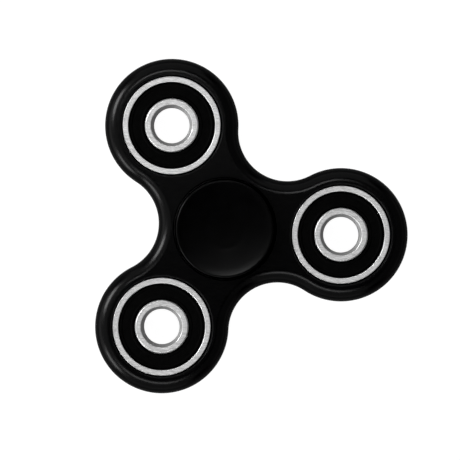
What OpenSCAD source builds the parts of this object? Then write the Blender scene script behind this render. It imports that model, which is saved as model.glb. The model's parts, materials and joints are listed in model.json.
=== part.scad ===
// Three-lobed fidget spinner: a moulded frame, four ball bearings and two finger caps.
// Millimetres. The origin is on the spin axis, halfway through the frame's thickness.
// +Z points out of the upper cap and +X runs from the spin axis to the middle of lobe A.

/* [Frame] */
// Distance from the spin axis to the middle of each lobe
lobe_distance = 26.1; // [25.8:0.1:26.6]
// Radius of each round lobe
lobe_r = 15; // [14.8:0.1:15.6]
// Radius of the hollow curve between two lobes
neck_r = 11; // [10.6:0.1:11.4]
// Thickness of the frame
frame_t = 7.4; // [7.2:0.1:8]
// Radius of the rounded outer edge
edge_r = 3; // [1:0.1:3.2]
// Lead-in chamfer round each bearing seat
seat_chamfer = 0.6; // [0.2:0.1:0.7]

/* [Bearings] */
// Outside diameter of a bearing
bearing_od = 22; // [22:0.1:22.4]
// Bore diameter of a bearing
bore_d = 8; // [7.8:0.1:8.2]
// Width of a bearing
bearing_w = 7; // [7:0.1:7.2]
// Chamfer on a bearing's outer corners
ring_chamfer = 0.2; // [0.1:0.05:0.4]
// Chamfer at the mouths of the bore
bore_chamfer = 0.7; // [0.3:0.05:0.8]
// Diameter of the circle through the ball centres
pitch_d = 15; // [14.9:0.1:15.1]
// Diameter of a ball
ball_d = 3.969; // [3.8:0.001:4]
// Number of balls in a bearing
ball_count = 7; // [5:1:7]
// How far the seals sit below the rings' faces
seal_recess = 0.2; // [0.1:0.05:0.3]

/* [Caps] */
// Diameter of a finger cap
cap_d = 22; // [21.4:0.1:22.4]
// Thickness of a cap at its rim
cap_t = 2; // [1.8:0.1:2.4]
// Gap between a cap and the frame's face
cap_gap = 0.5; // [0.3:0.1:0.8]
// Radius of curvature of the shallow middle of the dish
dish_r = 150; // [120:5:200]
// Radius of curvature of the dish's steeper border
dish_border_r = 30; // [24:1:40]
// Diameter of the shoulder that rests on the middle bearing's inner ring
shoulder_d = 11; // [10:0.1:11.4]
// Diameter of the pin that joins the two caps
pin_d = 4; // [3:0.1:5]

/* [Hidden] */
$fn = 96;
eps = 0.01;

LOBES = ["lobe_a", "lobe_b", "lobe_c"];
PIECES = ["outer_ring", "inner_ring", "balls", "cage",
          "top_seal", "bottom_seal", "top_washer", "bottom_washer"];

// Frame: a neck arc of neck_r touches the two lobes beside it
neck_distance = lobe_distance / 2
    + sqrt(pow(lobe_r + neck_r, 2) - 3 / 4 * pow(lobe_distance, 2));
function lobe_spot(k) = lobe_distance * [cos(120 * k), sin(120 * k)];
function neck_spot(k) = neck_distance * [cos(120 * k + 60), sin(120 * k + 60)];
blend_step = 0.02;                               // the core stands this proud of the lobe ends
half_t = frame_t / 2;
straight = half_t - edge_r;                      // half height of the straight outer wall
seat_r = bearing_od / 2;

// Bearing, by radius
outer_r = bearing_od / 2;
bore_r = bore_d / 2;
ball_r = ball_d / 2;
pitch_r = pitch_d / 2;
half_w = bearing_w / 2;
ball_play = 0.02;                                // clearance between a ball and each race
race_r = 1.04 * ball_r;                          // radius of the race grooves' section
inner_race_r = pitch_r - ball_r - ball_play + race_r;
outer_race_r = pitch_r + ball_r + ball_play - race_r;
inner_land_r = 6;                                // outside of the inner ring
outer_land_r = 8.95;                             // inside of the outer ring, beside the race
fine_chamfer = 0.1;

// Seals, one half of the bearing: heights above its middle
seal_out_r = 9.74;                               // where the rubber meets the outer ring
seal_in_r = inner_land_r + 0.07;                 // lip, just clear of the inner ring
seal_foot = 2.6;                                 // the step in the outer ring that it rests on
seal_face = half_w - seal_recess;
seal_edge = 0.06;                                // chamfers on the rubber
bead_r = seal_out_r + 0.19;                      // bead that snaps into the outer ring
bead_top = seal_foot + 0.28;
bead_play = 0.02;                                // between the rubber and its groove
lip_w = 0.3;                                     // lowered lip beside the inner ring
lip_drop = 0.22;
seal_groove_r = 9.4;                             // moulded groove near the outer edge
seal_groove = 0.14;
washer_in_r = 6.7;
washer_out_r = 8.85;
washer_t = 0.25;

// Cage: a ring with a back and open pockets
cage_in_r = 6.55;
cage_out_r = 8.45;
cage_back = -2.4;
cage_front = 0.95;
pocket_r = ball_r + 0.08;

// Caps, heights for the upper one
cap_r = cap_d / 2;
cap_under = half_t + cap_gap;
cap_top = cap_under + cap_t;
rim_w = 0.2;                                     // flat top of the rim
rim_round = 0.35;
under_round = 0.5;
dish_rim_r = cap_r - rim_round - rim_w;          // where the dish starts
border_w = 1.65;                                 // width of the dish's steeper border
dish_turn_r = dish_rim_r - border_w;             // where the two curves of the dish meet
turn_angle = asin(dish_turn_r / dish_r);
border_r_at = dish_turn_r - dish_border_r * sin(turn_angle);
border_rise = sqrt(pow(dish_border_r, 2) - pow(dish_rim_r - border_r_at, 2));
border_z_at = cap_top + border_rise;
dish_z_at = border_z_at + (dish_r - dish_border_r) * cos(turn_angle);
shoulder_r = shoulder_d / 2;
pin_r = pin_d / 2;
peg_chamfer = 0.3;
post_gap = 0.1;                                  // between the ends of the two posts
pin_length = 3;
socket_depth = 3.3;

PLASTIC = [0.05, 0.05, 0.055];
STEEL = [0.72, 0.73, 0.75];
RUBBER = [0.04, 0.04, 0.04];
NYLON = [0.75, 0.72, 0.62];

// ---------------------------------------------------------------- frame

// What a rounded corner of radius r leaves outside it, with the rounding's centre at the origin
module corner_waste(r) {
    difference() {
        square(r + 1);
        circle(r = r);
    }
}

// Half section of a round slab with the frame's rounded edge
module edge_section(r) {
    difference() {
        translate([0, -half_t]) square([r, frame_t]);
        for (side = [0, 1]) mirror([0, side])
            translate([r - edge_r, straight]) corner_waste(edge_r);
    }
}

// Half section of what is cut away round a neck: the hollow curve, flared by the rounded edge
module neck_section(r) {
    translate([0, -half_t - 1]) square([r, frame_t + 2]);
    for (side = [0, 1]) mirror([0, side]) difference() {
        translate([r - eps, straight]) square([edge_r + eps, edge_r + 1]);
        translate([r + edge_r, straight]) circle(r = edge_r);
    }
}

// The middle of the frame, with its corners at the lobes' middles
module core() {
    difference() {
        translate([0, 0, -half_t]) linear_extrude(frame_t)
            polygon([for (k = [0:2]) each [lobe_spot(k), neck_spot(k)]]);
        for (k = [0:2]) translate(neck_spot(k))
            rotate_extrude() neck_section(neck_r - blend_step);
    }
}

// Bearing seat, with a chamfer at both mouths that the cutter carries on past the faces
module seat() {
    end = half_t + 1;
    end_r = seat_r + seat_chamfer + 1;
    land = half_t - seat_chamfer;
    rotate_extrude() polygon([
        [0, -end], [end_r, -end], [seat_r, -land], [seat_r, land], [end_r, end], [0, end]]);
}

module frame() {
    color(PLASTIC) difference() {
        union() {
            core();
            for (k = [0:2]) translate(lobe_spot(k)) rotate_extrude() edge_section(lobe_r);
        }
        seat();
        for (k = [0:2]) translate(lobe_spot(k)) seat();
    }
}

// ---------------------------------------------------------------- bearing

// A closed outline from the points of its upper half, listed from one mirrored end to the other
function both_sides(side) = concat(
    side, [for (i = [len(side) - 1:-1:0]) [side[i].x, -side[i].y]]);

module outer_ring() {
    c = ring_chamfer;
    f = fine_chamfer;
    groove_top = bead_top + bead_play;
    groove_r = bead_r + bead_play;
    side = [[outer_r, half_w - c], [outer_r - c, half_w], [seal_out_r + f, half_w],
            [seal_out_r, half_w - f], [seal_out_r, groove_top], [groove_r, groove_top - f],
            [groove_r, seal_foot], [outer_land_r, seal_foot]];
    color(STEEL) difference() {
        rotate_extrude() polygon(both_sides(side));
        rotate_extrude() translate([outer_race_r, 0]) circle(r = race_r);
    }
}

module inner_ring() {
    c = bore_chamfer;
    f = fine_chamfer;
    side = [[inner_land_r, half_w - f], [inner_land_r - f, half_w],
            [bore_r + c, half_w], [bore_r, half_w - c]];
    color(STEEL) difference() {
        rotate_extrude() polygon(both_sides(side));
        rotate_extrude() translate([inner_race_r, 0]) circle(r = race_r);
    }
}

module balls() {
    color(STEEL) for (i = [0:ball_count - 1])
        rotate(360 / ball_count * i) translate([pitch_r, 0, 0]) sphere(r = ball_r);
}

module cage() {
    color(NYLON) difference() {
        rotate_extrude() translate([cage_in_r, cage_back])
            square([cage_out_r - cage_in_r, cage_front - cage_back]);
        for (i = [0:ball_count - 1])
            rotate(360 / ball_count * i) translate([pitch_r, 0, 0]) sphere(r = pocket_r);
    }
}

// Rubber seal of the upper side, with its lip, moulded groove and snap-in bead
module seal() {
    e = seal_edge;
    wall_r = seal_out_r - bead_play;
    lip_r = seal_in_r + lip_w;
    washer_top = seal_foot + washer_t;
    color(RUBBER) rotate_extrude() polygon([
        [seal_in_r, seal_foot], [washer_in_r, seal_foot], [washer_in_r, washer_top],
        [washer_out_r, washer_top], [washer_out_r, seal_foot], [bead_r, seal_foot],
        [bead_r, bead_top - fine_chamfer], [wall_r, bead_top], [wall_r, seal_face - e],
        [wall_r - e, seal_face], [seal_groove_r + seal_groove, seal_face],
        [seal_groove_r, seal_face - seal_groove], [seal_groove_r - seal_groove, seal_face],
        [lip_r + fine_chamfer, seal_face], [lip_r, seal_face - lip_drop],
        [seal_in_r, seal_face - lip_drop]]);
}

module washer() {
    color(STEEL) rotate_extrude() translate([washer_in_r, seal_foot])
        square([washer_out_r - washer_in_r, washer_t]);
}

// One piece of a bearing, by name
module bearing_piece(piece) {
    if (piece == "outer_ring") outer_ring();
    if (piece == "inner_ring") inner_ring();
    if (piece == "balls") balls();
    if (piece == "cage") cage();
    if (piece == "top_seal") seal();
    if (piece == "bottom_seal") mirror([0, 0, 1]) seal();
    if (piece == "top_washer") washer();
    if (piece == "bottom_washer") mirror([0, 0, 1]) washer();
}

// ---------------------------------------------------------------- caps

// Half section of a cap's disc, with rounded corners at its rim
module disc_section() {
    difference() {
        translate([0, cap_under]) square([cap_r, cap_t]);
        translate([cap_r - rim_round, cap_top - rim_round]) corner_waste(rim_round);
        translate([cap_r - under_round, cap_under + under_round])
            mirror([0, 1]) corner_waste(under_round);
    }
}

// Half section of the hollow for a fingertip: a shallow middle inside a steeper border
module dish_section() {
    intersection() {
        translate([0, dish_z_at]) circle(r = dish_r, $fn = 720);
        translate([0, cap_under]) square([dish_turn_r, cap_t + 1]);
    }
    intersection() {
        translate([border_r_at, border_z_at]) circle(r = dish_border_r, $fn = 360);
        translate([dish_turn_r, cap_under]) square([border_w + 1, cap_t + 1]);
    }
}

// A round peg from height low up to height high, with a chamfered lower end
module peg(r, low, high) {
    rotate_extrude() polygon([
        [0, low], [r - peg_chamfer, low], [r, low + peg_chamfer], [r, high], [0, high]]);
}

// Disc, shoulder and post, which both caps share; the upper cap's way up
module cap_body() {
    difference() {
        rotate_extrude() disc_section();
        rotate_extrude() dish_section();
    }
    translate([0, 0, half_w]) cylinder(h = cap_under - half_w + eps, r = shoulder_r);
    peg(bore_r, post_gap / 2, half_w + eps);
}

module top_cap() {
    color(PLASTIC) {
        cap_body();
        peg(pin_r, -pin_length, post_gap);
    }
}

module bottom_cap() {
    color(PLASTIC) mirror([0, 0, 1]) difference() {
        cap_body();
        cylinder(h = socket_depth, r = pin_r);
    }
}

// ---------------------------------------------------------------- assembly

frame();
top_cap();
bottom_cap();
for (piece = PIECES) {
    bearing_piece(piece);
    for (k = [0:2]) translate(lobe_spot(k)) bearing_piece(piece);
}
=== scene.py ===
"""The looks of a three-lobed fidget spinner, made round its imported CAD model.

Each CAD node but the cages is replaced by a finer closed mesh of the same size. Its half
section or outline has every corner rounded, and its surface normals are the true ones. Each
piece has a procedural material. The object's sizes are in millimetres until its meshes are
finished, and the stage is in metres.
"""
import json
import math

import bmesh
import bpy
from mathutils import Matrix, Vector


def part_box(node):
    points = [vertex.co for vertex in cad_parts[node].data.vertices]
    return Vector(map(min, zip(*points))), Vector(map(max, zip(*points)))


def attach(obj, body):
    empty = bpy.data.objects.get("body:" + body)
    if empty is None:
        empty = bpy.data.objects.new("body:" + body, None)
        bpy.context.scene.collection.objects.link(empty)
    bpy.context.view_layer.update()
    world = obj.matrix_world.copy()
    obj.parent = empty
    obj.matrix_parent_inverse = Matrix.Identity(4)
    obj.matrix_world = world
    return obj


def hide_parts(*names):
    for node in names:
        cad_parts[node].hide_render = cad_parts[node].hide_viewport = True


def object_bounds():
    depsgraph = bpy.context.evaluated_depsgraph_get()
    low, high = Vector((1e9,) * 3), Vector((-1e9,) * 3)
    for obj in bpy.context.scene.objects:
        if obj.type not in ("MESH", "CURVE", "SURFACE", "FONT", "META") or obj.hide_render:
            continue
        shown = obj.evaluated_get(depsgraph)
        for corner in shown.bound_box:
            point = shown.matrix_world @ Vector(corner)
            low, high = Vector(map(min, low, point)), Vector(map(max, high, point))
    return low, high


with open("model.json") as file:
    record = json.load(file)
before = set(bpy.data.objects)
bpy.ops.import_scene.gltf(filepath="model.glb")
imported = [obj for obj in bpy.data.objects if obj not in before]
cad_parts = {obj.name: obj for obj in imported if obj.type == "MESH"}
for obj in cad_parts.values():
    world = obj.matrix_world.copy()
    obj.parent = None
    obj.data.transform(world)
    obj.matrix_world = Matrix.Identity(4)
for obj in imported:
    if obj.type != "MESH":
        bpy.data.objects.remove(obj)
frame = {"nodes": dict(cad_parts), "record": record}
cad_low, cad_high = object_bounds()

MM = 0.001
PLACES = ("centre", "lobe_a", "lobe_b", "lobe_c")      # where the bearings are


# ------------------------------------------------------------ sizes taken from the frame

def box_mm(node):
    """A CAD node's lowest and highest corner in millimetres."""
    low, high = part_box(node)
    return [round(x / MM, 2) for x in low], [round(x / MM, 2) for x in high]


def radius_mm(node):
    """Half the width of a round CAD node."""
    low, high = box_mm(node)
    return round((high[0] - low[0]) / 2, 2)


def top_mm(node):
    """How high a CAD node reaches."""
    return box_mm(node)[1][2]


MOUNTS = {mount["name"]: mount for mount in frame["record"]["mounts"]}
LOBES_AT = [tuple(x / MM for x in MOUNTS[f"{place}_bore"]["pos_m"][:2]) for place in PLACES[1:]]
PLACE_AT = dict(zip(PLACES, [(0, 0), *LOBES_AT]))
LOBE_DISTANCE = math.hypot(*LOBES_AT[0])
HALF_T = top_mm("frame")
LOBE_R = round(box_mm("frame")[1][0] - LOBES_AT[0][0], 2)
SEAT_R = radius_mm("centre_outer_ring")
LAND_R = radius_mm("centre_inner_ring")
HALF_W = top_mm("centre_outer_ring")
BEAD_R = radius_mm("centre_top_seal")
SEAL_TOP = top_mm("centre_top_seal")
WASHER_R = radius_mm("centre_top_washer")
WASHER_TOP = top_mm("centre_top_washer")
BALL_R = top_mm("centre_balls")
CAP_R = radius_mm("top_cap")
CAP_TOP = top_mm("top_cap")
PIN_END = box_mm("top_cap")[0][2]
BORE_R = MOUNTS["lobe_a_bore"]["dims"]["r_mm"]


# ------------------------------------------------------------ sizes of the details

# Usual roundings of a corner
CRISP, FINE, SMALL, SOFT = 0.03, 0.04, 0.05, 0.1

# Frame
NECK_R = 11.0               # hollow curve between two lobes
EDGE_R = 3.0                # rounded outer edge
SEAT_CHAMFER = 0.6
SEAT_ROUND = 0.08           # where the seat's chamfer meets its wall
PARTING_W = 0.1             # half width of the mould's parting line
PARTING_DEPTH = 0.05

# Bearing rings
RING_CHAMFER = 0.12         # outside edges of the outer ring
LAND_CHAMFER = 0.22         # outside edges of the inner ring
FINE_CHAMFER = 0.1          # edges of the wall round the seal
BORE_CHAMFER = 0.7
PITCH_R = 7.5               # circle of the balls' middles
BALL_COUNT = 7
BALL_PLAY = 0.02
RACE_R = 1.04 * BALL_R      # ball groove
OUTER_LAND_R = 8.95         # the outer ring's inside, beside the groove
FACE_ROUND = 0.2            # edges of the inner ring's ground face
FACE, CHAMFER, RACE, BORE = range(4)    # the zones of a ring

# Seals and their washers
SEAL_SEAT = 2.6             # height of the step that the seal rests on
SEAL_WALL_R = 9.74
BEAD_GROOVE_H = 0.3         # height of the groove for the seal's bead
SEAL_GAP = 0.02             # between the seal and the outer ring
SEAL_LIP_R = LAND_R + 0.01
LIP_W = 0.3
LIP_DROP = 0.22             # how far the lip lies below the seal's top
SEAL_GROOVE_R = 9.4
GROOVE_W = 0.14             # half width and depth of the seal's groove
PANEL_R = (6.95, 8.75)      # hollow panel between the lip and the groove
PANEL_DROP = 0.07
WASHER_IN_R = 6.7

# Caps
CAP_UNDER = 4.2
RIM_ROUND = 0.35
UNDER_ROUND = 0.5
DISH_RIM_R = 10.45
DISH_TURN_R = 8.8           # where the dish's steeper border starts
DISH_R = 150.0              # curvature of the dish's middle
BORDER_R = 30.0             # curvature of the dish's border
SHOULDER_R = 5.5
PIN_R = 2.0
PEG_CHAMFER = 0.3
POST_END = 0.05
SOCKET_DEPTH = 3.3
SINK_R = 4.4                # faint ring over the post's wall
SINK_W = 0.5
SINK_DEPTH = 0.012

# How finely the curves are divided
RING_SEGMENTS = 192
LOBE_SEGMENTS = 96
NECK_SEGMENTS = 56
RACE_STEPS = 10
BORDER_STEPS, DISH_STEPS = 14, 40
ON_AXIS = 1e-6              # a radius that counts as nought


# ------------------------------------------------------------ half sections

def unit(x, y):
    """The direction of (x, y)."""
    length = math.hypot(x, y)
    return x / length, y / length


def rounded(corners, closed=True, step=math.radians(12), edge=None):
    """The points of a half section with rounded corners, as (r, z, normal r, normal z, zone).

    Each corner is (r, z, rounding, zone). The section runs counterclockwise, with r to the
    right and z up, and zone is the material of the stretch that leaves the corner; the
    rounding itself has it too, or edge if that is given. A rounding of 0 marks a point on a
    smooth curve. An open section ends on level stretches.
    """
    points = []
    count = len(corners)
    for i, (r, z, rounding, zone) in enumerate(corners):
        if not closed and i in (0, count - 1):
            points.append((r, z, 0.0, -1.0 if i == 0 else 1.0, zone))
            continue
        before, after = corners[i - 1], corners[(i + 1) % count]
        u = unit(r - before[0], z - before[1])
        v = unit(after[0] - r, after[1] - z)
        if rounding == 0:
            points.append((r, z, *unit(u[1] + v[1], -u[0] - v[0]), zone))
            continue
        turn = math.atan2(u[0] * v[1] - u[1] * v[0], u[0] * v[0] + u[1] * v[1])
        reach = rounding * math.tan(abs(turn) / 2)
        bend = math.copysign(rounding, turn)
        centre_r = r - u[0] * reach - u[1] * bend
        centre_z = z - u[1] * reach + u[0] * bend
        start = math.atan2(-u[0], u[1])
        steps = max(2, math.ceil(abs(turn) / step))
        for k in range(steps + 1):
            angle = start + turn * k / steps
            n_r, n_z = math.cos(angle), math.sin(angle)
            bent = zone if edge is None or k == steps else edge
            points.append((centre_r + bend * n_r, centre_z + bend * n_z, n_r, n_z, bent))
    return points


def arc(centre_r, centre_z, radius, start, end, steps, zone):
    """Corners on a smooth curve, from angle start to angle end in degrees."""
    angles = [math.radians(start + (end - start) * k / steps) for k in range(steps + 1)]
    return [(centre_r + radius * math.cos(a), centre_z + radius * math.sin(a), 0, zone)
            for a in angles]


def mirrored(half):
    """A closed section from its upper half. A corner at height 0 is not repeated."""
    lower = [(half[i][0], -half[i][1], half[i][2], half[i - 1][3])
             for i in reversed(range(len(half))) if half[i][1] > ON_AXIS]
    return half + lower


def flipped(section):
    """A section turned upside down, still counterclockwise."""
    turned = [(r, -z, rounding) for r, z, rounding, _ in reversed(section)]
    zones = [zone for *_, zone in reversed(section)]
    zones = zones[1:] + zones[:1]
    return [(*corner, zone) for corner, zone in zip(turned, zones)]


def one_zone(corners):
    """A section of one material, from corners without a zone."""
    return [(*corner, 0) for corner in corners]


# ------------------------------------------------------------ meshes

def finish_mesh(name, bm, normals, materials):
    """A smooth object from a mesh in millimetres, with the true normal of each vertex."""
    bmesh.ops.scale(bm, vec=(MM, MM, MM), verts=bm.verts)
    mesh = bpy.data.meshes.new(name)
    bm.to_mesh(mesh)
    bm.free()
    mesh.shade_smooth()
    mesh.normals_split_custom_set_from_vertices(normals)
    for material in materials:
        mesh.materials.append(material)
    piece = bpy.data.objects.new(name, mesh)
    bpy.context.scene.collection.objects.link(piece)
    return piece


def revolve(name, points, materials, at=(0, 0), closed=True):
    """A turned piece: the half section points, carried round the vertical line at (x, y)."""
    bm = bmesh.new()
    normals = []
    rings = []
    turns = [2 * math.pi * j / RING_SEGMENTS for j in range(RING_SEGMENTS)]
    for r, z, n_r, n_z, _ in points:
        spots = turns if r > ON_AXIS else [0.0]
        rings.append([bm.verts.new((at[0] + r * math.cos(a), at[1] + r * math.sin(a), z))
                      for a in spots])
        normals += [(n_r * math.cos(a), n_r * math.sin(a), n_z) for a in spots]
    pairs = list(zip(range(len(points)), range(1, len(points))))
    if closed:
        pairs.append((len(points) - 1, 0))
    for low, high in pairs:
        for j in range(RING_SEGMENTS):
            k = (j + 1) % RING_SEGMENTS
            corners = [rings[low][j % len(rings[low])], rings[low][k % len(rings[low])],
                       rings[high][k % len(rings[high])], rings[high][j % len(rings[high])]]
            face = bm.faces.new(list(dict.fromkeys(corners)))
            face.material_index = points[low][4]
    return finish_mesh(name, bm, normals, materials)


# ------------------------------------------------------------ materials

def new_material(name):
    """A material with an untouched Principled shader."""
    material = bpy.data.materials.new(name)
    material.use_nodes = True
    return material


def add(material, kind, inputs=(), **settings):
    """A new node of a material or world, with inputs set, or linked where given a socket."""
    tree = material.node_tree
    node = tree.nodes.new(kind)
    for key, value in settings.items():
        setattr(node, key, value)
    for key, value in dict(inputs).items():
        if isinstance(value, bpy.types.NodeSocket):
            tree.links.new(value, node.inputs[key])
        else:
            node.inputs[key].default_value = value
    return node


def shader(material, **values):
    """Sets or links inputs of the material's Principled shader; _ stands for a space."""
    bsdf = material.node_tree.nodes["Principled BSDF"]
    for key, value in values.items():
        socket = bsdf.inputs[key.replace("_", " ")]
        if isinstance(value, bpy.types.NodeSocket):
            material.node_tree.links.new(value, socket)
        else:
            socket.default_value = value


def noise(material, scale, stretch=(1, 1, 1), turn=0.0, detail=4.0, roughness=0.55):
    """Noise in the piece's own coordinates: scale is in waves per metre."""
    where = add(material, "ShaderNodeTexCoord").outputs["Object"]
    moved = add(material, "ShaderNodeMapping", {
        "Vector": where, "Scale": stretch, "Rotation": (0, 0, turn)})
    return add(material, "ShaderNodeTexNoise", {
        "Vector": moved.outputs["Vector"], "Scale": scale, "Detail": detail,
        "Roughness": roughness}).outputs["Fac"]


def spread(material, value, low, high, start=0.3, end=0.7):
    """A value carried from the range start to end into the range low to high."""
    return add(material, "ShaderNodeMapRange", {
        "Value": value, "From Min": start, "From Max": end,
        "To Min": low, "To Max": high}).outputs["Result"]


def grey(shade):
    """A colour without a hue."""
    return shade, shade, shade


def shades(material, value, dark, light, start=0.3, end=0.7):
    """A colour between two shades."""
    ramp = add(material, "ShaderNodeValToRGB", {"Fac": value})
    for stop, (place, colour) in zip(ramp.color_ramp.elements, ((start, dark), (end, light))):
        stop.position = place
        stop.color = (*colour, 1)
    return ramp.outputs["Color"]


def bump(material, height, strength, distance, below=None):
    """A bump normal, on top of another one if below is given."""
    inputs = {"Height": height, "Strength": strength, "Distance": distance}
    if below is not None:
        inputs["Normal"] = below
    return add(material, "ShaderNodeBump", inputs).outputs["Normal"]


def black_plastic(name, dark, light, gloss, shine):
    """Semi-gloss moulded ABS: a fine mould texture, slow waves and a few handling marks."""
    m = new_material(name)
    grain = noise(m, 4200, detail=2)
    waves = noise(m, 260, detail=3)
    marks = noise(m, 500, stretch=(1, 3, 1), turn=0.6, detail=5)
    fine = bump(m, grain, 0.1, 3e-6)
    shader(m,
           Base_Color=shades(m, waves, dark, light),
           Roughness=spread(m, marks, gloss, gloss + 0.02),
           Specular_IOR_Level=shine,
           Normal=bump(m, waves, 0.06, 2e-5, below=fine))
    return m


def turning_marks(material, at, scale):
    """Noise that changes only with the distance from the vertical line at (x, y), in mm."""
    where = add(material, "ShaderNodeTexCoord").outputs["Object"]
    centred = add(material, "ShaderNodeMapping", {
        "Vector": where, "Location": (-at[0] * MM, -at[1] * MM, 0), "Scale": (1, 1, 0)})
    radius = add(material, "ShaderNodeVectorMath", {0: centred.outputs["Vector"]},
                 operation="LENGTH").outputs["Value"]
    marks = add(material, "ShaderNodeTexNoise", {"W": radius, "Scale": scale, "Detail": 3.0},
                noise_dimensions="1D")
    return marks.outputs["Fac"]


def average(material, first, second):
    """The mean of two values."""
    total = add(material, "ShaderNodeMath", {0: first, 1: second}, operation="ADD")
    return add(material, "ShaderNodeMath", {0: total.outputs[0], 1: 0.5},
               operation="MULTIPLY").outputs[0]


def ground_steel(name, at, turn, dark, light):
    """Bearing steel with a turned face, ground over with long fine scratches."""
    m = new_material(name)
    scratches = noise(m, 550, stretch=(1, 5, 1), turn=turn, detail=8, roughness=0.75)
    finish = average(m, scratches, turning_marks(m, at, 9000))
    cloud = noise(m, 350, detail=3)
    shader(m,
           Base_Color=shades(m, finish, dark, light, start=0.42, end=0.57),
           Metallic=1.0,
           Roughness=spread(m, cloud, 0.46, 0.56),
           Normal=bump(m, finish, 0.3, 6e-6))
    return m


def polished_steel(name, roughness, dark, light):
    """Turned and polished steel: faint rings and almost no scratches."""
    m = new_material(name)
    haze = noise(m, 1500, stretch=(1, 1, 12), detail=5)
    shader(m,
           Base_Color=shades(m, haze, dark, light),
           Metallic=1.0,
           Roughness=spread(m, haze, roughness, roughness + 0.08),
           Normal=bump(m, haze, 0.06, 4e-6))
    return m


def seal_rubber():
    """Matt black nitrile rubber with a fine moulded skin."""
    m = new_material("seal_rubber")
    skin = noise(m, 6500, detail=3)
    dust = noise(m, 1100, detail=6)
    shader(m,
           Base_Color=shades(m, dust, grey(0.0010), grey(0.0020)),
           Roughness=spread(m, dust, 0.55, 0.7),
           Specular_IOR_Level=0.03,
           Normal=bump(m, skin, 0.2, 8e-6))
    return m


def cage_nylon():
    """Natural glass-filled nylon: creamy, with short pale fibres."""
    m = new_material("cage_nylon")
    fibres = noise(m, 2500, stretch=(1, 5, 2), turn=0.9, detail=5)
    shader(m,
           Base_Color=shades(m, fibres, (0.56, 0.51, 0.38), (0.70, 0.66, 0.55)),
           Roughness=spread(m, fibres, 0.42, 0.58),
           Subsurface_Weight=0.1,
           Normal=bump(m, fibres, 0.15, 8e-6))
    return m


frame_black = black_plastic(
    "frame_plastic", (0.0006, 0.0006, 0.0007), (0.0010, 0.0010, 0.0011), gloss=0.22, shine=0.13)
cap_black = black_plastic(
    "cap_plastic", (0.0012, 0.0012, 0.0012), (0.0018, 0.0018, 0.0019), gloss=0.21, shine=0.08)
rubber = seal_rubber()
nylon = cage_nylon()
chamfer_steel = polished_steel("polished_steel", 0.32, grey(0.58), grey(0.70))
# The bore's chamfer and wall: the rings' steel painted much darker, as painted shade for the
# sloping bore chamfer
bore_steel = polished_steel("bore_steel", 0.5, grey(0.30), grey(0.40))
race_steel = polished_steel("race_steel", 0.1, (0.58, 0.58, 0.59), (0.68, 0.68, 0.69))
ball_steel = polished_steel("ball_steel", 0.04, (0.70, 0.71, 0.73), (0.78, 0.78, 0.80))
washer_steel = polished_steel("washer_steel", 0.35, (0.38, 0.39, 0.41), (0.50, 0.51, 0.52))
# Which way each bearing's faces were ground, in radians, and a factor on the brightness of each
# bearing's face colour: painted shade, for the light that falls differently on each bearing
GRIND_AND_PAINTED_SHADE = {"centre": (0.4, 0.9), "lobe_a": (-0.5, 0.9), "lobe_b": (0.8, 0.96), "lobe_c": (0.2, 0.86)}
ground = {
    place: ground_steel(f"ground_steel_{place}", PLACE_AT[place], turn,
                        grey(0.38 * shade), grey(0.80 * shade))
    for place, (turn, shade) in GRIND_AND_PAINTED_SHADE.items()}


# ------------------------------------------------------------ frame

def neck_spots():
    """The middles of the hollow curves between the lobes."""
    across = LOBE_DISTANCE * math.sqrt(3) / 2
    distance = LOBE_DISTANCE / 2 + math.sqrt((LOBE_R + NECK_R) ** 2 - across ** 2)
    return [(distance * math.cos(a), distance * math.sin(a))
            for a in (math.radians(120 * k + 60) for k in range(3))]


def outline():
    """The frame's outline, as (centre x, y, radius, 1 for a lobe or -1 for a neck, angle)."""
    necks = neck_spots()
    neck_x, neck_y = necks[0]
    lobe_sweep = math.atan2(neck_y - LOBES_AT[0][1], neck_x - LOBES_AT[0][0])
    touch = math.radians(60) + math.pi
    neck_sweep = abs(math.atan2(-neck_y, LOBES_AT[0][0] - neck_x) + 2 * math.pi - touch)
    spots = []
    for k in range(3):
        facing = math.radians(120 * k)
        for j in range(LOBE_SEGMENTS):
            turn = -lobe_sweep + 2 * lobe_sweep * j / LOBE_SEGMENTS
            spots.append((*LOBES_AT[k], LOBE_R, 1, facing + turn))
        for j in range(NECK_SEGMENTS):
            turn = neck_sweep - 2 * neck_sweep * j / NECK_SEGMENTS
            spots.append((*necks[k], NECK_R, -1, facing + touch + turn))
    return spots


def edge_profile():
    """The frame's edge from its lower to its upper face, as a section of (outwards, z)."""
    inner = -EDGE_R - 0.1       # the ends only give the direction of the flat faces
    bend = EDGE_R - 0.001       # leaves the flat faces their full width
    edge = [(inner, -HALF_T, 0), (0, -HALF_T, bend), (0, -PARTING_W, CRISP),
            (-PARTING_DEPTH, 0, CRISP), (0, PARTING_W, CRISP), (0, HALF_T, bend),
            (inner, HALF_T, 0)]
    return rounded(one_zone(edge), closed=False, step=math.radians(90 / 16))[1:-1]


def mouth_profile():
    """A bearing seat's wall from its upper to its lower mouth."""
    mouth_r = SEAT_R + SEAT_CHAMFER
    land = HALF_T - SEAT_CHAMFER
    wall = [(mouth_r + 1, HALF_T, 0), (mouth_r, HALF_T, FINE), (SEAT_R, land, SEAT_ROUND),
            (SEAT_R, -land, SEAT_ROUND), (mouth_r, -HALF_T, FINE), (mouth_r + 1, -HALF_T, 0)]
    return rounded(one_zone(wall), closed=False, step=math.radians(9))[1:-1]


def strip(bm, loops):
    """Quads between neighbouring loops of vertices."""
    for low, high in zip(loops, loops[1:]):
        count = len(low)
        for j in range(count):
            k = (j + 1) % count
            bm.faces.new((low[j], low[k], high[k], high[j]))


def fill_flat(bm, loops):
    """Closes a flat face between an outer loop and its holes."""
    edges = [bm.edges.get((loop[j], loop[(j + 1) % len(loop)]))
             for loop in loops for j in range(len(loop))]
    bmesh.ops.triangle_fill(bm, use_beauty=True, use_dissolve=False, edges=edges)


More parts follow.
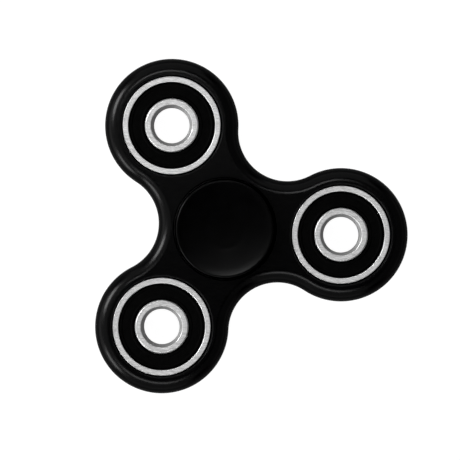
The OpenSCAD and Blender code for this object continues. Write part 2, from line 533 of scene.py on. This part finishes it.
def make_frame():
    """The moulded body: its edge all round, four bearing seats and two flat faces."""
    bm = bmesh.new()
    normals = []
    edge = []
    spots = outline()
    for out, z, n_out, n_z, _ in edge_profile():
        loop = []
        for x, y, radius, side, angle in spots:
            c, s = math.cos(angle), math.sin(angle)
            reach = radius + side * out
            loop.append(bm.verts.new((x + reach * c, y + reach * s, z)))
            normals.append((n_out * side * c, n_out * side * s, n_z))
        edge.append(loop)
    strip(bm, edge)
    tops, bottoms = [edge[-1]], [edge[0]]
    for x, y in PLACE_AT.values():
        mouth = []
        for r, z, n_r, n_z, _ in mouth_profile():
            loop = []
            for j in range(RING_SEGMENTS):
                c = math.cos(2 * math.pi * j / RING_SEGMENTS)
                s = math.sin(2 * math.pi * j / RING_SEGMENTS)
                loop.append(bm.verts.new((x + r * c, y + r * s, z)))
                normals.append((n_r * c, n_r * s, n_z))
            mouth.append(loop)
        strip(bm, mouth)
        tops.append(mouth[0])
        bottoms.append(mouth[-1])
    fill_flat(bm, tops)
    fill_flat(bm, bottoms)
    bmesh.ops.recalc_face_normals(bm, faces=bm.faces)
    return finish_mesh("spinner_frame", bm, normals, [frame_black])


# ------------------------------------------------------------ bearings

def race_half_angle(centre_r, land_r):
    """Half the angle that a ball groove takes up, from a land at land_r."""
    return math.degrees(math.acos(abs(land_r - centre_r) / RACE_R))


def outer_ring_section():
    """The outer race, with a groove on each side for the seal's bead."""
    c, f = RING_CHAMFER, FINE_CHAMFER
    centre_r = PITCH_R + BALL_R + BALL_PLAY - RACE_R
    groove_top = SEAL_SEAT + BEAD_GROOVE_H
    groove_r = BEAD_R + SEAL_GAP
    sweep = race_half_angle(centre_r, OUTER_LAND_R)
    race = arc(centre_r, 0, RACE_R, sweep, 0, RACE_STEPS, RACE)
    return mirrored([
        (SEAT_R, HALF_W - c, SOFT, CHAMFER), (SEAT_R - c, HALF_W, 0.08, FACE),
        (SEAL_WALL_R + f, HALF_W, 0.14, CHAMFER), (SEAL_WALL_R, HALF_W - f, SMALL, CHAMFER),
        (SEAL_WALL_R, groove_top, CRISP, CHAMFER), (groove_r, groove_top - f, CRISP, CHAMFER),
        (groove_r, SEAL_SEAT, CRISP, CHAMFER), (OUTER_LAND_R, SEAL_SEAT, SMALL, CHAMFER),
        (*race[0][:2], SMALL, RACE), *race[1:]])


def inner_ring_section():
    """The inner race, with a broad chamfer at each end of its bore."""
    c, f = BORE_CHAMFER, LAND_CHAMFER
    centre_r = PITCH_R - BALL_R - BALL_PLAY + RACE_R
    sweep = race_half_angle(centre_r, LAND_R)
    race = arc(centre_r, 0, RACE_R, 180, 180 - sweep, RACE_STEPS, RACE)
    return mirrored([
        *race[:-1], (*race[-1][:2], SMALL, CHAMFER),
        (LAND_R, HALF_W - f, SMALL, CHAMFER), (LAND_R - f, HALF_W, FACE_ROUND, FACE),
        (BORE_R + c, HALF_W, FACE_ROUND, BORE), (BORE_R, HALF_W - c, SOFT, BORE)])


def seal_section():
    """The upper seal: a lip, a hollow panel, a groove, and a bead in the outer ring."""
    bead_top = SEAL_SEAT + BEAD_GROOVE_H - SEAL_GAP
    wall_r = SEAL_WALL_R - SEAL_GAP
    lip_r = SEAL_LIP_R + LIP_W
    lip_top = SEAL_TOP - LIP_DROP
    panel = SEAL_TOP - PANEL_DROP
    return one_zone([
        (SEAL_LIP_R, SEAL_SEAT, FINE), (WASHER_IN_R, SEAL_SEAT, CRISP),
        (WASHER_IN_R, WASHER_TOP, CRISP), (WASHER_R, WASHER_TOP, CRISP),
        (WASHER_R, SEAL_SEAT, CRISP), (BEAD_R, SEAL_SEAT, SMALL), (BEAD_R, bead_top - 0.1, SMALL),
        (wall_r, bead_top, CRISP), (wall_r, SEAL_TOP, 0.07),
        (SEAL_GROOVE_R + GROOVE_W, SEAL_TOP, FINE), (SEAL_GROOVE_R, SEAL_TOP - GROOVE_W, CRISP),
        (SEAL_GROOVE_R - GROOVE_W, SEAL_TOP, FINE),
        (PANEL_R[1] + 0.25, SEAL_TOP, 0.12), (PANEL_R[1], panel, 0.2),
        (PANEL_R[0], panel, 0.2), (PANEL_R[0] - 0.2, SEAL_TOP, SOFT),
        (lip_r + 0.1, SEAL_TOP, FINE), (lip_r, lip_top, CRISP), (SEAL_LIP_R, lip_top, SMALL)])


def washer_section():
    """The steel disc in the upper seal."""
    return one_zone([
        (WASHER_IN_R, SEAL_SEAT, FINE), (WASHER_R, SEAL_SEAT, FINE),
        (WASHER_R, WASHER_TOP, FINE), (WASHER_IN_R, WASHER_TOP, FINE)])


def make_balls(name, at, material):
    """All the balls of a bearing, as one piece."""
    bm = bmesh.new()
    normals = []
    for i in range(BALL_COUNT):
        angle = 2 * math.pi * i / BALL_COUNT
        spot = Vector((at[0] + PITCH_R * math.cos(angle), at[1] + PITCH_R * math.sin(angle), 0))
        ball = bmesh.ops.create_icosphere(
            bm, subdivisions=4, radius=BALL_R, matrix=Matrix.Translation(spot))
        normals += [(vert.co - spot).normalized() for vert in ball["verts"]]
    return finish_mesh(name, bm, normals, [material])


def make_bearing(place):
    """All the pieces of one bearing but its cage, each riding on its own body."""
    at = PLACE_AT[place]
    hub = "grip" if place == "centre" else f"{place}_hub"
    steel = [ground[place], chamfer_steel, race_steel, bore_steel]
    seal, washer = seal_section(), washer_section()
    turned = [
        ("outer_ring", outer_ring_section(), steel, "spinner", "ring_steel"),
        ("inner_ring", inner_ring_section(), steel, hub, "ring_steel"),
        ("top_seal", seal, [rubber], "spinner", "seal_rubber"),
        ("bottom_seal", flipped(seal), [rubber], "spinner", "seal_rubber"),
        ("top_washer", washer, [washer_steel], "spinner", "washer_steel"),
        ("bottom_washer", flipped(washer), [washer_steel], "spinner", "washer_steel")]
    for node, section, materials, body, slot in turned:
        points = rounded(section, edge=CHAMFER if materials is steel else None)
        piece = revolve(f"{place}_{node}_fine", points, materials, at)
        place_piece(piece, body, f"{place}_{node}")
    balls = make_balls(f"{place}_balls_fine", at, ball_steel)
    place_piece(balls, f"{place}_ball_set", f"{place}_balls")
    paint_node(f"{place}_cage", nylon)


# ------------------------------------------------------------ caps

def dish_corners():
    """The fingertip hollow from the rim to the axis: a steep border, then a shallow middle."""
    turn = math.degrees(math.asin(DISH_TURN_R / DISH_R))
    border_at = DISH_TURN_R - BORDER_R * math.sin(math.radians(turn))
    border_up = CAP_TOP + math.sqrt(BORDER_R ** 2 - (DISH_RIM_R - border_at) ** 2)
    middle_up = border_up + (DISH_R - BORDER_R) * math.cos(math.radians(turn))
    rim = math.degrees(math.atan2(CAP_TOP - border_up, DISH_RIM_R - border_at))
    border = arc(border_at, border_up, BORDER_R, rim, turn - 90, BORDER_STEPS, 0)
    middle = arc(0, middle_up, DISH_R, turn - 90, -90, DISH_STEPS, 0)
    sunk = [(r, z - SINK_DEPTH * math.exp(-((r - SINK_R) / SINK_W) ** 2), *rest)
            for r, z, *rest in middle[1:]]
    return border[1:] + sunk[:-1] + [(0, sunk[-1][1], 0, 0)]


def cap_section(pinned):
    """A cap's half section, the upper cap's way up: with a pin, or with a socket for one."""
    if pinned:
        end = [(0, PIN_END, 0), (PIN_R - PEG_CHAMFER, PIN_END, SOFT),
               (PIN_R, PIN_END + PEG_CHAMFER, SOFT), (PIN_R, POST_END, 0.06)]
    else:
        end = [(0, SOCKET_DEPTH, 0), (PIN_R, SOCKET_DEPTH, SOFT), (PIN_R, POST_END, SOFT)]
    outside = [
        (BORE_R - PEG_CHAMFER, POST_END, SOFT), (BORE_R, POST_END + PEG_CHAMFER, SOFT),
        (BORE_R, HALF_W, SMALL), (SHOULDER_R, HALF_W, SOFT), (SHOULDER_R, CAP_UNDER, 0.25),
        (CAP_R, CAP_UNDER, UNDER_ROUND), (CAP_R, CAP_TOP, RIM_ROUND), (DISH_RIM_R, CAP_TOP, 0.12)]
    return one_zone(end + outside) + dish_corners()


def make_cap(name, section, node):
    """A finger cap, turned from its half section."""
    points = rounded(section, closed=False, step=math.radians(9))
    place_piece(revolve(name, points, [cap_black], closed=False), "grip", node)


# ------------------------------------------------------------ assembly

def place_piece(piece, body, node):
    """The piece stands for a CAD node and rides on its body."""
    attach(piece, body)
    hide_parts(node)


def paint_node(name, material):
    """A material for a CAD node that stays."""
    for slot in frame["nodes"][name].material_slots:
        slot.material = material


place_piece(make_frame(), "spinner", "frame")
for place in PLACES:
    make_bearing(place)
make_cap("upper_cap", cap_section(pinned=True), "top_cap")
make_cap("lower_cap", flipped(cap_section(pinned=False)), "bottom_cap")


# ------------------------------------------------------------ stage

VIEW_WIDTH = 0.1031         # what the picture takes in across, at the rings' faces
VIEW_MIDDLE = (0.00116, -0.00023)   # the picture's middle from the spin axis, across and up
CAMERA_HEIGHT = 1.4
CLIP_END = 20
ROLL = math.radians(2.85)
FLOOR_SIZE = 6
FLOOR_GAP = 0.00002         # between the floor and the lower cap's rim
BACKDROP = 0.98             # how bright the camera sees the floor and the world
HORIZON, CEILING = 0.3, 0.02        # how bright the object sees the world
BLACK_LEVEL = 0.002
LAMP_DISTANCE = 0.8
# Name, azimuth and zenith in degrees, width and height in metres, radiance
SOFTBOXES = (
    ("north_strip", 105, 14, 0.17, 0.08, 16.0),
    ("northwest", 155, 54, 0.26, 0.27, 18.0),
    ("south_strip", 255, 28, 0.4, 0.1, 9.0),
    ("southwest", 216, 62, 0.28, 0.22, 10.5),
    ("north_fill", 95, 58, 1.0, 0.8, 0.65),
    ("south_fill", 262, 62, 1.0, 0.8, 0.5),
    ("west_fill", 186, 46, 0.9, 1.1, 0.6),
    ("west_low", 186, 80, 1.2, 0.4, 0.8),
    ("east_fill", 0, 50, 1.4, 1.1, 0.25))


def direction(azimuth, zenith):
    """A unit vector: azimuth in degrees from the picture's right, zenith from straight up."""
    a, z = math.radians(azimuth) + ROLL, math.radians(zenith)
    return Vector((math.sin(z) * math.cos(a), math.sin(z) * math.sin(a), math.cos(z)))


def make_camera():
    """The photograph's view: straight down, turned a little about the vertical."""
    data = bpy.data.cameras.new("camera")
    camera = bpy.data.objects.new("camera", data)
    across, up = VIEW_MIDDLE
    c, s = math.cos(ROLL), math.sin(ROLL)
    camera.location = (across * c - up * s, across * s + up * c, CAMERA_HEIGHT)
    camera.rotation_euler = (0, 0, ROLL)
    distance = CAMERA_HEIGHT - HALF_W * MM
    data.lens = data.sensor_width * distance / VIEW_WIDTH
    data.clip_end = CLIP_END
    bpy.context.scene.collection.objects.link(camera)
    bpy.context.scene.camera = camera


def softbox(name, azimuth, zenith, width, height, radiance):
    """A rectangular lamp aimed at the object, as bright as radiance in a mirror."""
    data = bpy.data.lights.new(name, "AREA")
    data.shape = "RECTANGLE"
    data.size = width
    data.size_y = height
    data.energy = radiance * math.pi * width * height
    lamp = bpy.data.objects.new(name, data)
    towards = direction(azimuth, zenith)
    lamp.location = towards * LAMP_DISTANCE
    lamp.rotation_euler = towards.to_track_quat("Z", "Y").to_euler()
    bpy.context.scene.collection.objects.link(lamp)


def make_floor():
    """A plain floor just under the lower cap's rim: grey to the object, white to the camera."""
    m = new_material("floor")
    speckle = noise(m, 30, detail=2)
    seen = add(m, "ShaderNodeLightPath").outputs["Is Camera Ray"]
    shader(m,
           Base_Color=shades(m, seen, grey(0.2), grey(0.1), start=0.0, end=1.0),
           Roughness=spread(m, speckle, 0.85, 0.95),
           Specular_IOR_Level=0.1,
           Emission_Color=(1, 1, 1, 1),
           Emission_Strength=spread(m, seen, 0.0, BACKDROP, start=0.0, end=1.0))
    bm = bmesh.new()
    bmesh.ops.create_grid(bm, x_segments=1, y_segments=1, size=FLOOR_SIZE)
    mesh = bpy.data.meshes.new("floor")
    bm.to_mesh(mesh)
    bm.free()
    mesh.materials.append(m)
    floor = bpy.data.objects.new("floor", mesh)
    floor.location.z = cad_low.z - FLOOR_GAP
    bpy.context.scene.collection.objects.link(floor)


def make_world():
    """A dark room that brightens towards the horizon, and white to the camera."""
    world = bpy.data.worlds.new("studio")
    world.use_nodes = True
    background = world.node_tree.nodes["Background"]
    towards = add(world, "ShaderNodeTexCoord").outputs["Generated"]
    height = add(world, "ShaderNodeSeparateXYZ", {"Vector": towards}).outputs["Z"]
    lit = spread(world, height, HORIZON, CEILING, start=0.0, end=0.4)
    seen = add(world, "ShaderNodeLightPath").outputs["Is Camera Ray"]
    white = spread(world, seen, 0.0, BACKDROP, start=0.0, end=1.0)
    strength = add(world, "ShaderNodeMath", {0: lit, 1: white}, operation="MAXIMUM").outputs[0]
    world.node_tree.links.new(strength, background.inputs["Strength"])
    background.inputs["Color"].default_value = (1, 1, 1, 1)
    bpy.context.scene.world = world


def set_contrast():
    """Plain colours, with a black level that deepens the shadows."""
    view = bpy.context.scene.view_settings
    view.view_transform = "Standard"
    view.use_curve_mapping = True
    view.curve_mapping.black_level = grey(BLACK_LEVEL)
    view.curve_mapping.update()


make_camera()
make_floor()
make_world()
for lamp_values in SOFTBOXES:
    softbox(*lamp_values)
set_contrast()
